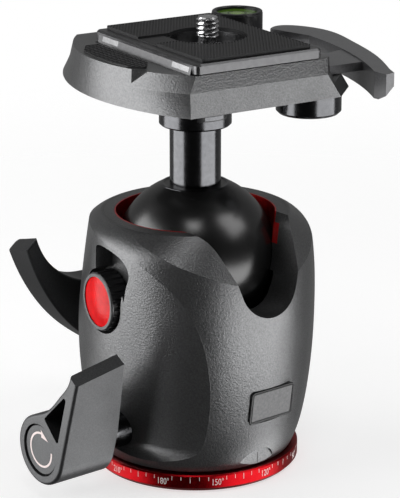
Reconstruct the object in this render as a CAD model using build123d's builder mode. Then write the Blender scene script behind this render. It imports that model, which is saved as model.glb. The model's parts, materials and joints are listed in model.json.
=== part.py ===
"""Tripod ball head: panning base, sculpted ball housing with a drop notch, quick-release platform.

Millimetres, +Z up. The origin is the centre of the base thread, on the bottom face.
-Y is the drop notch, -X the pan lock and +Y the ball lock. The platform stands turned by head_turn.
"""
import os
from math import acos, atan, atan2, cos, degrees, radians, sin, sqrt, tan

from build123d import *

os.makedirs("parts", exist_ok=True)

# ---------------------------------------------------------------- fits
slip = 0.05  # radial clearance of parts that turn or slide in each other
ball_gap = 0.15  # between the ball and its seats
face_gap = 0.3  # between faces that pass each other
loose_gap = 0.2  # radial room of a washer or a ring in its seat
axial_gap = 0.2  # room at the end of a bore

# ---------------------------------------------------------------- base
thread_radius = 4.7625  # 3/8"-16, major
insert_radius = 7.0
insert_length = 11.0
insert_room = 1.0  # bore past the end of the insert
base_radius = 30.0
ring_width = 4.0
ring_height = 4.9
ring_lift = 0.4  # the scale ring stands this far above the bottom face
ring_bevel = 1.1
disc_height = 4.8
disc_bevel = 0.5
pan_washer_height = 1.0
spindle_radius = 10.0
neck_radius = 7.0
neck_over = 0.6  # the spindle's neck stands this far past the nut
nut_radius = 13.0
nut_height = 4.0
wave_height = 0.8
washer_inset = 0.6
spanner_slot = 3.0

# ---------------------------------------------------------------- ball and its socket
ball_radius = 23.3
ball_z = 61.65
ball_flat_radius = 9.8
spigot_radius = 5.0
spigot_room = 0.5  # room under the spigot
spigot_depth = 16.0
liner_wall = 1.15
seat_drop = 1.65  # the housing's own seat begins this far below the ball's centre
liner_rise = 5.6  # the red liner begins this far above the ball's centre
liner_mouth_radius = 22.75
liner_lip = 0.35
cup_bottom_z = 41.6
cup_top_z = 48.8

# ---------------------------------------------------------------- housing
foot_radius = 28.2
calf_radius = 32.24
calf_z = 20.0
waist_radius = 34.44
waist_z = 50.0
shoulder_radius = 33.6
shoulder_z = 66.6
shoulder_lean = 0.12  # how far the wall leans in at the shoulder, per unit of height
rim_radius = 27.0
rim_z = 75.0
floor_z = 19.5  # floor of the cavity, over the pan bearing
cavity_radius = 19.0
top_ring_radius = 26.2
top_ring_height = 2.4
cone_apex_y = -20.4  # apex of the cone that cuts the sloping shoulder
cone_apex_height = 12.5  # above the rim
cone_depth = 22.0
cone_grow = 0.5  # the cone is this much wider than the rim, and set back
cone_bite = 0.2  # it bites this far into the rim at the front

panel_axis_x = 26.3  # the side panel is turned about a leaning axis, which leaves the bottom face here
panel_axis_y = 7.65
panel_lean_x = -0.356  # and leans by this much for each unit of height
panel_lean_y = -0.159
panel_foot = 32.0  # lengths along that axis: where the hollow foot ends,
panel_mid = 55.0
panel_top = 95.0
panel_foot_radius = 46.9  # and the panel's radii there
panel_mid_radius = 41.1
panel_top_radius = 28.8
panel_flare = 4.0

notch_half = 10.2
notch_lean = 17.7  # degrees by which the notch's walls lean apart
notch_flare_z = 71.0
notch_mouth = 16.4  # half its width at the rim

plate_x = 1.2
plate_z = 25.3
plate_width = 15.0
plate_height = 9.3
plate_thick = 0.9
plate_frame = 0.6
plate_sink = 1.1
plate_round = 0.8
plate_fall = 1.35  # the wall stands this much inside the waist at the plate

index_width = 12.4
index_x = -0.75
index_height = 5.5
index_face = 28.3

# ---------------------------------------------------------------- friction knob
knob_angle = 172.8
knob_z = 52.8
knob_radius = 8.45
knob_length = 5.3
knob_grooves = 24
groove_radius = 0.6
groove_out = 0.25
bezel_height = 0.6
disc_radius = 7.2
disc_dome = 0.9
pocket_radius = 9.4
scoop_left = -2.2  # finger scoop over the knob, seen along its axis
scoop_right = 13.4
scoop_top = 16.7
pocket_floor = 26.2  # distance of the pocket's floor from the pan axis
pad_radius = 3.4
pad_travel = 0.32
pad_back = 0.55  # the pad's head ends this far inside the socket's wall
spring_height = 0.35
screw_gap = 0.4  # room under the friction screw and under its knob
screw_engage = 3.0  # length of the screw inside the knob
pad_stem_radius = 1.5
screw_radius = 3.4

# ---------------------------------------------------------------- ball lock
lock_z = 34.0
lock_shaft_radius = 3.5
cam_radius = 4.0
cam_throw = 0.6
cam_inner = 12.2
cam_outer = 17.6
lift_ring_radius = 18.8
lift_ring_bore = 12.5
lift_ring_height = 2.7
lock_blind_y = 24.2
lock_bush_radius = 6.0
lock_lever_y = 38.4
lock_lever_thick = 12.0
lock_hub_radius = 11.3
lock_cap_radius = 8.0
lock_cap_height = 1.2
lock_shaft_gap = 0.4
lock_bush_foot = 1.2  # wall between the cavity and the bushing
lever_round = 1.6  # rounding of the lever's outer edges
lever_round_near = 0.8

# ---------------------------------------------------------------- pan lock
pan_z = 15.3
pan_shaft_radius = 3.0
pan_pad_length = 3.9
pan_pad_radius = 3.1
pan_sleeve_radius = 5.6
pan_sleeve_inner = 19.6
pan_sleeve_outer = 36.6
pan_hub_radius = 10.2
pan_lever_inner = 37.6
pan_lever_outer = 55.8
pan_cap_radius = 7.3
pan_cap_sink = 0.5
pan_cap_height = 2.0
pan_cap_gap = 0.3
pan_brake_gap = 0.45  # travel left between the pan shaft and its brake pad

# ---------------------------------------------------------------- stem
head_turn = -7.2
deck_z = 114.0  # top of the platform's deck; the heights above and below follow it
stem_radius = 7.3
collar_radius = 10.3
collar_bottom_z = deck_z - 13.9
bolt_radius = 4.0
bolt_head_radius = 6.5
bolt_head_height = 4.0
bolt_end_z = 72.0
bolt_room = 0.5
bolt_sink = 0.2  # the bolt's head stands this far under the deck
bolt_socket = 3.0
bolt_socket_depth = 2.6
stem_seat = 2.0  # depth of the stem's seat in the platform
collar_slot = 9.0
collar_slot_width = 1.6
collar_slot_depth = 2.6

# ---------------------------------------------------------------- platform, in the turned frame
deck_thick = 3.3
wall_top_z = deck_z + 7.0
bevel_top_z = deck_z + 2.4
platform_front = -31.4
platform_back = 40.5
platform_right = 37.0
platform_cut = 9.2  # cut corners at the open end
end_slope = 1.7  # the open end leans in by this much
nose_bottom = ((-20.8, platform_front), (-30.9, 4.1), (-20.0, platform_back))
nose_fold = ((-18.6, -27.4), (-30.1, 4.3), (-19.0, 37.0))
nose_top = ((-16.6, -27.0), (-29.4, 4.5), (-17.4, 36.8))
tray_half = 25.2
jaw_foot_x = -19.4
jaw_top_x = -18.0
wall_end_x = 28.2
wedge_z = deck_z + 2.0  # foot of the thumb wedge in the nose
belly_radius = 20.0
belly_depth = 4.2

level_x = 32.4
level_y = 28.7
level_radius = 7.6
level_top_z = deck_z + 10.0
vial_depth = 7.0
vial_height = 6.4
vial_radius = 6.1

lever_x = 28.2
lever_y = -15.2
lever_hub_radius = 7.0
pin_radius = 2.0
boss_radius = 9.3
boss_wall = 2.0
boss_depth = 4.5
pin_depth = 2.2  # depth of the pivot's hole in the boss
spring_length = 3.9
spring_room = 0.5
spring_bore = 2.2
boss_bottom_z = deck_z - 11.0
blade_top_z = deck_z + 3.2
blade_bottom_z = deck_z - 4.4
blade_centre_x = -73.7  # centre of the blade's inner edge
blade_centre_y = 18.9
blade_inner = 122.8
blade_wedge = 0.9  # rise of the blade's underside
blade_edge = 2.9
blade_foot = 1.0  # flat foot of the blade's inner edge
blade_past = 30.0  # the cut that shapes the wedge reaches past the blade
jaw_back = 1.2
jaw_y = -0.5
jaw_width = 9.0
jaw_top_z = deck_z + 6.4

trip_x = 12.0
trip_y = 8.0
trip_radius = 2.2
trip_over = 0.1  # the pin stands this far over the deck
trip_floor = 1.5  # wall left under the trip pin
trip_spring_height = 3.0
grip_pad_height = 0.5

# ---------------------------------------------------------------- camera plate
cam_plate_left = -19.0
cam_plate_right = 25.6
rim_left = -16.3
rim_right = 23.8
cam_plate_half = 24.9
rim_half = 27.5
cam_plate_bottom_z = deck_z + 0.3
rim_bottom_z = deck_z + 7.4
rim_top_z = deck_z + 10.1
rim_over = 0.3  # the rim stands this far past the plate's flanks
pad_width = 35.2
pad_depth = 52.2
pad_height = 1.0
pad_margin = 0.4
pad_rib_gap = 10.0
screw_neck_top = rim_top_z + pad_height
screw_x = 4.0
camera_screw_radius = 3.175  # 1/4"-20, major
camera_screw_top = deck_z + 16.4
screw_tip = 0.6
screw_neck_radius = 2.7  # plain neck that keeps the screw in its plate
screw_flange_radius = 8.0
screw_flange_height = 2.4
flange_room = 2.4
flange_gap = 0.1
screw_washer_radius = 6.4
screw_washer_height = 0.8
wire = 1.4  # thickness of the screw's ring
ring_gap = 0.15
screw_well_radius = 10.6
screw_well_z = deck_z + 7.0
flange_top_z = deck_z + 4.4

# ---------------------------------------------------------------- derived places
up = Vector(0, 0, 1)
ring_inner = base_radius - ring_width
housing_bottom = disc_height + pan_washer_height
spindle_top = floor_z + wave_height
seat_radius = ball_radius + ball_gap
liner_radius = ball_radius + ball_gap + liner_wall
socket_radius = liner_radius + slip
liner_bottom_z = ball_z + liner_rise
ball_flat_z = ball_z + sqrt(ball_radius**2 - ball_flat_radius**2)
head = Plane.XY.rotated((0, 0, head_turn))
head_side = Plane(origin=(0, 0, 0), x_dir=head.x_dir, z_dir=-head.y_dir)  # X and Z of the turned frame


def turned(x, y, z=0.0):
    """A point of the platform's turned frame."""
    return head.x_dir * x + head.y_dir * y + Vector(0, 0, z)


def finish(builder, name):
    """Label a finished piece and write its STEP file."""
    builder.part.label = name
    export_step(builder.part, f"parts/{name}.step")


def tip_plane(corner, edge, fall):
    """The slanting plane across a lever's tip: through a corner, along an edge and a fall line."""
    across = Vector(*edge).cross(Vector(*fall)).normalized()
    return Plane(origin=corner, x_dir=edge, z_dir=across if across.Z > 0 else across * -1)


def tube(plane, outer, inner, length):
    """A plain sleeve that stands on a plane."""
    with BuildPart() as made:
        with BuildSketch(plane):
            Circle(outer)
            Circle(inner, mode=Mode.SUBTRACT)
        extrude(amount=length)
    return made


# ================================================================ base
with BuildPart() as base_disc:
    with BuildSketch(Plane.XZ):
        with BuildLine():
            Polyline(
                (0, 0),
                (ring_inner - slip - disc_bevel, 0),
                (ring_inner - slip, disc_bevel),
                (ring_inner - slip, disc_height),
                (spindle_radius, disc_height),
                (spindle_radius, spindle_top),
                (neck_radius, spindle_top),
                (neck_radius, spindle_top + nut_height + neck_over),
                (0, spindle_top + nut_height + neck_over),
                close=True,
            )
        make_face()
    revolve(axis=Axis.Z)
    with BuildSketch(Plane.XY):
        Circle(insert_radius)
    extrude(amount=insert_length + insert_room, mode=Mode.SUBTRACT)
finish(base_disc, "base_disc")

with BuildPart() as scale_ring:
    with BuildSketch(Plane.XZ):
        with BuildLine():
            Polyline(
                (ring_inner, ring_lift),
                (base_radius - ring_bevel, ring_lift),
                (base_radius, ring_lift + ring_bevel),
                (base_radius, ring_lift + ring_height - ring_bevel / 3),
                (base_radius - ring_bevel / 3, ring_lift + ring_height),
                (ring_inner, ring_lift + ring_height),
                close=True,
            )
        make_face()
    revolve(axis=Axis.Z)
finish(scale_ring, "scale_ring")

thread_insert = tube(Plane.XY, insert_radius, thread_radius, insert_length)
finish(thread_insert, "thread_insert")

washer_bore = spindle_radius + loose_gap / 2
pan_washer = tube(Plane.XY.offset(disc_height), ring_inner - washer_inset, washer_bore, pan_washer_height)
finish(pan_washer, "pan_washer")

wave_washer = tube(Plane.XY.offset(floor_z), nut_radius - loose_gap, washer_bore, wave_height)
finish(wave_washer, "wave_washer")

with BuildPart() as spindle_nut:
    with BuildSketch(Plane.XY.offset(spindle_top)):
        Circle(nut_radius)
        Circle(neck_radius, mode=Mode.SUBTRACT)
        with PolarLocations(nut_radius, 4):
            Rectangle(spanner_slot, spanner_slot, mode=Mode.SUBTRACT)
    extrude(amount=nut_height)
finish(spindle_nut, "spindle_nut")

# ================================================================ cutting bodies of the housing
cone_scale = (cone_apex_height + cone_depth) / cone_apex_height
cone_radius = rim_radius + cone_grow
cone_y = cone_grow + cone_bite
with BuildPart() as shoulder_cut:
    with BuildSketch(Plane.XY.offset(rim_z - cone_depth)):
        Circle(waist_radius + 5)
    extrude(amount=cone_depth + 5)
    with BuildSketch(Plane.XY.offset(rim_z + cone_apex_height / 2)):
        with Locations((0, (cone_y + cone_apex_y) / 2)):
            Circle(cone_radius / 2)
    with BuildSketch(Plane.XY.offset(rim_z - cone_depth - 1)):
        with Locations((0, cone_apex_y + (cone_y - cone_apex_y) * (cone_scale + 1 / cone_apex_height))):
            Circle(cone_radius * (cone_scale + 1 / cone_apex_height))
    loft(ruled=True, mode=Mode.SUBTRACT)

panel_origin = Vector(panel_axis_x, panel_axis_y, 0)
panel_up = Vector(panel_lean_x, panel_lean_y, 1).normalized()
panel_out = panel_up.cross(Vector(0, 1, 0)).normalized()
panel_plane = Plane(origin=panel_origin, x_dir=panel_out, z_dir=panel_out.cross(panel_up))
panel_ledge = panel_foot - panel_flare
with BuildPart() as panel_cut:
    with BuildSketch(panel_plane):
        with BuildLine():
            arch = ThreePointArc(
                (panel_foot_radius, panel_foot), (panel_mid_radius, panel_mid), (panel_top_radius, panel_top)
            )
            TangentArc(
                (panel_foot_radius, panel_foot),
                (panel_foot_radius + panel_flare, panel_ledge),
                tangent=arch.tangent_at(0) * -1,
            )
            Polyline(
                (panel_foot_radius + panel_flare, panel_ledge),
                (panel_foot_radius + waist_radius, panel_ledge),
                (panel_foot_radius + waist_radius, panel_top),
                (panel_top_radius, panel_top),
            )
        make_face()
    revolve(axis=Axis(panel_origin, panel_up))

notch_turn = radians(notch_lean)
notch_low_x = notch_half * cos(notch_turn)
notch_low_z = ball_z - notch_half * sin(notch_turn)
notch_high_x = notch_low_x + (notch_flare_z - notch_low_z) * tan(notch_turn)
with BuildPart() as notch_cut:
    with BuildSketch(Plane.XZ):
        with BuildLine():
            ThreePointArc((-notch_low_x, notch_low_z), (0, ball_z - notch_half), (notch_low_x, notch_low_z))
            Line((notch_low_x, notch_low_z), (notch_high_x, notch_flare_z))
            TangentArc(
                (notch_high_x, notch_flare_z), (notch_mouth, rim_z),
                tangent=(sin(notch_turn), cos(notch_turn)),
            )
            Polyline(
                (notch_mouth, rim_z), (notch_mouth, rim_z + 5),
                (-notch_mouth, rim_z + 5), (-notch_mouth, rim_z),
            )
            TangentArc(
                (-notch_high_x, notch_flare_z), (-notch_mouth, rim_z),
                tangent=(-sin(notch_turn), cos(notch_turn)),
            )
            Line((-notch_high_x, notch_flare_z), (-notch_low_x, notch_low_z))
        make_face()
    extrude(amount=waist_radius + 5)

knob_axis = Vector(cos(radians(knob_angle)), sin(radians(knob_angle)), 0)


def knob_plane(distance):
    """The plane across the knob's axis at this distance from the pan axis, its Y upwards."""
    return Plane(
        origin=knob_axis * distance + up * knob_z,
        x_dir=(-knob_axis.Y, knob_axis.X, 0),
        z_dir=knob_axis,
    )


# ================================================================ housing
with BuildPart() as housing_shell:
    with BuildSketch(Plane.XZ):
        with BuildLine():
            Spline(
                (foot_radius, housing_bottom),
                (calf_radius, calf_z),
                (waist_radius, waist_z),
                (shoulder_radius, shoulder_z),
                tangents=((0.5, 1), (-shoulder_lean, 1)),
            )
            TangentArc((shoulder_radius, shoulder_z), (rim_radius, rim_z), tangent=(-shoulder_lean, 1))
            Polyline((rim_radius, rim_z), (0, rim_z), (0, housing_bottom), (foot_radius, housing_bottom))
        make_face()
    revolve(axis=Axis.Z)
    add(shoulder_cut.part, mode=Mode.SUBTRACT)
    add(panel_cut.part, mode=Mode.SUBTRACT)
    # bores on the pan axis
    with BuildSketch(Plane.XY.offset(housing_bottom)):
        Circle(spindle_radius + slip)
    extrude(amount=floor_z - housing_bottom, mode=Mode.SUBTRACT)
    with BuildSketch(Plane.XY.offset(floor_z)):
        Circle(cavity_radius)
    extrude(amount=cup_bottom_z + axial_gap - floor_z, mode=Mode.SUBTRACT)
    with BuildSketch(Plane.XY.offset(cup_bottom_z)):
        Circle(socket_radius)
    extrude(amount=ball_z - seat_drop - cup_bottom_z, mode=Mode.SUBTRACT)
    with Locations((0, 0, ball_z)):
        Sphere(seat_radius, mode=Mode.SUBTRACT)
    with BuildSketch(Plane.XY.offset(liner_bottom_z)):
        Circle(socket_radius)
    extrude(amount=rim_z - liner_bottom_z, mode=Mode.SUBTRACT)
    with BuildSketch(Plane.XY.offset(rim_z - top_ring_height)):
        Circle(top_ring_radius + slip)
    extrude(amount=top_ring_height, mode=Mode.SUBTRACT)
    add(notch_cut.part, mode=Mode.SUBTRACT)
    # pocket of the friction knob with its finger scoop, and the bore of its pad
    with BuildSketch(knob_plane(pocket_floor)):
        Circle(pocket_radius)
        with BuildLine():
            Spline(
                (scoop_left, scoop_top - 2.0), (scoop_left + 1.6, scoop_top - 0.2), (5.1, scoop_top),
                (9.6, scoop_top - 1.0), (12.6, scoop_top - 3.2), (scoop_right, scoop_top - 6.1),
                (12.2, 7.0), (10.7, 2.8), (pocket_radius, 0),
                tangents=((0, 1), (-0.2, -1)),
            )
            Polyline((pocket_radius, 0), (scoop_left, 0), (scoop_left, scoop_top - 2.0))
        make_face()
    extrude(amount=waist_radius, mode=Mode.SUBTRACT)
    with BuildSketch(knob_plane(ball_radius / 2)):
        Circle(screw_radius + slip)
    extrude(amount=waist_radius, mode=Mode.SUBTRACT)
    # ball lock: through bore at +Y, blind bore at -Y
    with BuildSketch(Plane.XZ.offset(lock_blind_y)):
        with Locations((0, lock_z)):
            Circle(lock_shaft_radius + slip)
    extrude(amount=-lock_blind_y - 5, mode=Mode.SUBTRACT)
    with BuildSketch(Plane.XZ):
        with Locations((0, lock_z)):
            Circle(lock_bush_radius)
    extrude(amount=-waist_radius - 5, mode=Mode.SUBTRACT)
    # pan lock
    with BuildSketch(Plane.YZ):
        with Locations((0, pan_z)):
            Circle(pan_pad_radius + slip)
    extrude(amount=-pan_sleeve_inner - 1, mode=Mode.SUBTRACT)
    with BuildSketch(Plane.YZ.offset(-pan_sleeve_inner)):
        with Locations((0, pan_z)):
            Circle(pan_sleeve_radius)
    extrude(amount=-waist_radius, mode=Mode.SUBTRACT)
    # recess of the name plate, which follows the slope of the wall
    wall_slope = degrees(atan((waist_radius - foot_radius) / (waist_z - housing_bottom)))
    plate_plane = Plane(
        origin=(plate_x, -(waist_radius - plate_fall - plate_sink), plate_z),
        x_dir=(1, 0, 0),
        z_dir=(0, -cos(radians(wall_slope)), -sin(radians(wall_slope))),
    )
    with BuildSketch(plate_plane):
        RectangleRounded(
            plate_width + 2 * plate_frame, plate_height + 2 * plate_frame, plate_round + plate_frame
        )
    extrude(amount=6, mode=Mode.SUBTRACT)
    # scalloped flat over the index line
    with BuildSketch(Plane.XZ.offset(index_face)):
        with Locations((index_x, housing_bottom)):
            Ellipse(index_width / 2, index_height)
    extrude(amount=6, mode=Mode.SUBTRACT)
finish(housing_shell, "housing_shell")

with BuildPart() as name_plate:
    with BuildSketch(plate_plane):
        RectangleRounded(plate_width, plate_height, plate_round)
    extrude(amount=plate_thick)
finish(name_plate, "name_plate")

with BuildPart() as top_ring:
    with BuildSketch(Plane.XY.offset(rim_z - top_ring_height)):
        Circle(top_ring_radius)
        Circle(liner_mouth_radius + liner_lip + slip, mode=Mode.SUBTRACT)
    extrude(amount=top_ring_height)
    add(notch_cut.part, mode=Mode.SUBTRACT)
finish(top_ring, "top_ring")

with BuildPart() as socket_liner:
    with BuildSketch(Plane.XZ):
        with BuildLine():
            Polyline(
                (liner_mouth_radius, liner_bottom_z),
                (liner_mouth_radius, rim_z),
                (liner_mouth_radius + liner_lip, rim_z),
                (liner_mouth_radius + liner_lip, rim_z - top_ring_height),
                (liner_radius, rim_z - top_ring_height),
                (liner_radius, liner_bottom_z),
                close=True,
            )
        make_face()
    revolve(axis=Axis.Z)
    add(notch_cut.part, mode=Mode.SUBTRACT)
finish(socket_liner, "socket_liner")

# ================================================================ ball lock
cup_low = sqrt(seat_radius**2 - (ball_z - cup_bottom_z) ** 2)
cup_high = sqrt(seat_radius**2 - (ball_z - cup_top_z) ** 2)
cup_mid_z = (cup_bottom_z + cup_top_z) / 2
with BuildPart() as lower_cup:
    with BuildSketch(Plane.XZ):
        with BuildLine():
            ThreePointArc(
                (cup_low, cup_bottom_z),
                (sqrt(seat_radius**2 - (ball_z - cup_mid_z) ** 2), cup_mid_z),
                (cup_high, cup_top_z),
            )
            Polyline(
                (cup_high, cup_top_z),
                (socket_radius - face_gap, cup_top_z),
                (socket_radius - face_gap, cup_bottom_z),
                (cup_low, cup_bottom_z),
            )
        make_face()
    revolve(axis=Axis.Z)
finish(lower_cup, "lower_cup")

lift_top = cup_bottom_z - axial_gap
lift_foot = lift_top - lift_ring_height
lift_ring = tube(Plane.XY.offset(lift_foot), lift_ring_radius, lift_ring_bore, lift_ring_height)
finish(lift_ring, "lift_ring")

with BuildPart() as lock_shaft:
    with BuildSketch(Plane.XZ.offset(lock_blind_y - lock_shaft_gap)):
        with Locations((0, lock_z)):
            Circle(lock_shaft_radius)
    extrude(amount=-(lock_blind_y - lock_shaft_gap + lock_lever_y + lock_lever_thick - 2))
    with BuildSketch(Plane.XZ.offset(cam_outer), Plane.XZ.offset(-cam_inner)):
        with Locations((0, lock_z + cam_throw)):
            Circle(cam_radius)
    extrude(amount=-(cam_outer - cam_inner))
finish(lock_shaft, "lock_shaft")

lock_bush_outer = lock_lever_y - face_gap
lock_bushing = tube(
    Plane(origin=(0, cavity_radius + lock_bush_foot, lock_z), z_dir=(0, 1, 0)),
    lock_bush_radius,
    lock_shaft_radius + slip,
    lock_bush_outer - cavity_radius - lock_bush_foot,
)
finish(lock_bushing, "lock_bushing")

hub_leave = radians(235)
lever_low = (lock_hub_radius * cos(hub_leave), lock_z + lock_hub_radius * sin(hub_leave))
lever_high = (0, lock_z + lock_hub_radius)
lever_heel = (-32.0, 59.6)
lever_tip = (-28.3, 62.6)
lever_tip_fall = (0, lock_lever_thick, -4.4)
with BuildPart() as lock_lever:
    with BuildSketch(Plane.XZ.offset(-lock_lever_y)):
        with BuildLine():
            ThreePointArc(lever_high, (lock_hub_radius, lock_z), lever_low)
            Spline(
                lever_low, (-17.5, 34.0), (-26.4, 46.4), lever_heel,
                tangents=((sin(hub_leave), -cos(hub_leave)), (-0.33, 1)),
            )
            Line(lever_heel, lever_tip)
            Spline(lever_tip, (-21.9, 52.0), (-12.7, 46.6), lever_high, tangents=((0.3, -1), (1, 0)))
        make_face()
    extrude(amount=-lock_lever_thick)
    fillet(lock_lever.faces().sort_by(Axis.Y)[-1].edges(), lever_round)
    fillet(lock_lever.faces().sort_by(Axis.Y)[0].edges(), lever_round_near)
    with BuildSketch(
        tip_plane(
            (lever_tip[0], lock_lever_y, lever_tip[1]),
            (lever_heel[0] - lever_tip[0], 0, lever_heel[1] - lever_tip[1]),
            lever_tip_fall,
        )
    ):
        Rectangle(4 * lock_lever_thick, 4 * lock_lever_thick)
    extrude(amount=lock_lever_thick, mode=Mode.SUBTRACT)
    with BuildSketch(Plane.XZ.offset(-lock_lever_y)):
        with Locations((0, lock_z)):
            Circle(lock_shaft_radius)
    extrude(amount=-(lock_lever_thick - 2), mode=Mode.SUBTRACT)
    with BuildSketch(Plane.XZ.offset(-(lock_lever_y + lock_lever_thick - 2))):
        with Locations((0, lock_z)):
            Circle(lock_cap_radius)
    extrude(amount=-2, mode=Mode.SUBTRACT)
finish(lock_lever, "lock_lever")

with BuildPart() as lock_cap:
    with BuildSketch(Plane.XZ.offset(-(lock_lever_y + lock_lever_thick - 2))):
        with Locations((0, lock_z)):
            Circle(lock_cap_radius - slip)
    extrude(amount=-lock_cap_height)
finish(lock_cap, "lock_cap")

# ================================================================ friction knob
pad_outer = socket_radius - pad_back
pad_tip = sqrt(seat_radius**2 - (ball_z - knob_z - pad_radius) ** 2) + pad_travel
with BuildPart() as friction_plunger:
    with BuildSketch(knob_plane(pad_tip)):
        Circle(pad_radius)
    extrude(amount=pad_outer - pad_tip)
    with BuildSketch(knob_plane(pad_tip)):
        Circle(pad_stem_radius)
    extrude(amount=pocket_floor + 1 - pad_tip)
finish(friction_plunger, "friction_plunger")

spring_inner = pad_outer + spring_height
friction_spring = tube(
    knob_plane(spring_inner), pad_radius - loose_gap, pad_stem_radius + loose_gap, spring_height
)
finish(friction_spring, "friction_spring")

screw_inner = spring_inner + screw_gap
knob_bottom = pocket_floor + screw_gap
with BuildPart() as friction_screw:
    with BuildSketch(knob_plane(screw_inner)):
        Circle(screw_radius)
        Circle(pad_stem_radius + slip, mode=Mode.SUBTRACT)
    extrude(amount=knob_bottom + screw_engage - screw_inner)
finish(friction_screw, "friction_screw")

with BuildPart() as friction_knob:
    with BuildSketch(knob_plane(knob_bottom)):
        Circle(knob_radius)
        with PolarLocations(knob_radius + groove_out, knob_grooves):
            Circle(groove_radius, mode=Mode.SUBTRACT)
    extrude(amount=knob_length)
    with BuildSketch(knob_plane(knob_bottom)):
        Circle(screw_radius)
    extrude(amount=screw_engage, mode=Mode.SUBTRACT)
finish(friction_knob, "friction_knob")

knob_top = knob_bottom + knob_length
with BuildPart() as knob_bezel:
    with BuildSketch(knob_plane(knob_top)):
        Circle(knob_radius - 0.1)
        Circle(disc_radius, mode=Mode.SUBTRACT)
    extrude(amount=bezel_height)
    chamfer(knob_bezel.edges().sort_by(Axis(knob_axis * 0, knob_axis))[-1], 0.3)
finish(knob_bezel, "knob_bezel")

disc_edge = 0.3
disc_arch = (disc_radius**2 + disc_dome**2) / (2 * disc_dome)
with BuildPart() as knob_disc:
    with BuildSketch(knob_plane(knob_top)):
        Circle(disc_radius - 0.02)
    extrude(amount=disc_edge + disc_dome)
    with Locations(knob_plane(knob_top + disc_edge + disc_dome - disc_arch).origin):
        Sphere(disc_arch, mode=Mode.INTERSECT)
finish(knob_disc, "knob_disc")

# ================================================================ pan lock
with BuildPart() as pan_brake_pad:
    with BuildSketch(Plane.YZ.offset(-(spindle_radius + slip + pan_pad_length))):
        with Locations((0, pan_z)):
            Circle(pan_pad_radius)
    extrude(amount=pan_pad_length + 1)
    with BuildSketch(Plane.XY):
        Circle(spindle_radius + slip)
    extrude(amount=floor_z, mode=Mode.SUBTRACT)
finish(pan_brake_pad, "pan_brake_pad")

pan_sleeve = tube(
    Plane(origin=(-pan_sleeve_inner, 0, pan_z), z_dir=(-1, 0, 0)),
    pan_sleeve_radius,
    pan_shaft_radius + slip,
    pan_sleeve_outer - pan_sleeve_inner,
)
finish(pan_sleeve, "pan_bushing")

pan_shaft_inner = spindle_radius + slip + pan_pad_length + pan_brake_gap
with BuildPart() as pan_shaft:
    with BuildSketch(Plane.YZ.offset(-pan_shaft_inner)):
        with Locations((0, pan_z)):
            Circle(pan_shaft_radius)
    extrude(amount=-(pan_lever_outer - pan_cap_height - pan_cap_sink - pan_shaft_inner))
finish(pan_shaft, "pan_shaft")

grip_tip = (-17.9, 39.2)
grip_shoulder = (-14.8, 41.4)
grip_tip_fall = (15.6, 0, 4.1)
grip_taper_z = 20.0
grip_taper = 0.118  # the grip thins by this much for each unit of height above it
grip_over = 8.0  # the grip is drawn this much longer, then cut off aslant
tip_reach = sqrt(grip_tip[0] ** 2 + (grip_tip[1] - pan_z) ** 2)
tip_angle = atan2(grip_tip[1] - pan_z, grip_tip[0])
pan_leave = radians(40)
pan_return = tip_angle + acos(pan_hub_radius / tip_reach)  # where the straight back meets the hub
back_x = sin(pan_return)  # the way the straight back runs, up and towards -Y
back_y = -cos(pan_return)
grip_low = (pan_hub_radius * cos(pan_return), pan_z + pan_hub_radius * sin(pan_return))
grip_high = (pan_hub_radius * cos(pan_leave), pan_z + pan_hub_radius * sin(pan_leave))
grip_end = (grip_tip[0] + grip_over * back_x, grip_tip[1] + grip_over * back_y)
shoulder_end = (grip_shoulder[0] + grip_over * back_x, grip_shoulder[1] + grip_over * back_y)
with BuildPart() as pan_lever:
    with BuildSketch(Plane.YZ.offset(-pan_lever_outer)):
        with BuildLine():
            ThreePointArc(grip_low, (0, pan_z - pan_hub_radius), grip_high)
            Spline(
                grip_high, (-3.2, 27.9), (-9.4, 33.8), grip_shoulder,
                tangents=((-sin(pan_leave), cos(pan_leave)), (back_x, back_y)),
            )
            Polyline(grip_shoulder, shoulder_end, grip_end, grip_low)
        make_face()
    extrude(amount=pan_lever_outer - pan_lever_inner)
    fillet(pan_lever.faces().sort_by(Axis.X)[0].edges(), lever_round_near + 0.1)
    with BuildSketch(
        tip_plane(
            (-pan_lever_outer, *grip_tip),
            (0, grip_shoulder[0] - grip_tip[0], grip_shoulder[1] - grip_tip[1]),
            grip_tip_fall,
        )
    ):
        Rectangle(60, 60)
    extrude(amount=2 * grip_over, mode=Mode.SUBTRACT)
    with BuildSketch(Plane.XZ):
        with BuildLine():
            Polyline(
                (-pan_lever_inner, grip_taper_z),
                (-pan_lever_inner + 5, grip_taper_z),
                (-pan_lever_inner + 5, grip_taper_z + 30),
                (-pan_lever_inner - 30 * grip_taper, grip_taper_z + 30),
                close=True,
            )
        make_face()
    extrude(amount=30, both=True, mode=Mode.SUBTRACT)
    with BuildSketch(Plane.YZ.offset(-pan_lever_outer)) as window:
        with BuildLine():
            Polyline((-13.5, 35.8), (-2.4, 25.4), (-8.6, 19.4), close=True)
        make_face()
        fillet(window.vertices(), 0.7)
    extrude(amount=pan_lever_outer - pan_lever_inner - 3, mode=Mode.SUBTRACT)
    with BuildSketch(Plane.YZ.offset(-pan_lever_inner)):
        with Locations((0, pan_z)):
            Circle(pan_shaft_radius)
    extrude(amount=-(pan_lever_outer - pan_lever_inner), mode=Mode.SUBTRACT)
    with BuildSketch(Plane.YZ.offset(-pan_lever_outer)):
        with Locations((0, pan_z)):
            Circle(pan_cap_radius + pan_cap_gap)
    extrude(amount=pan_cap_height + pan_cap_sink, mode=Mode.SUBTRACT)
finish(pan_lever, "pan_lever")

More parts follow.
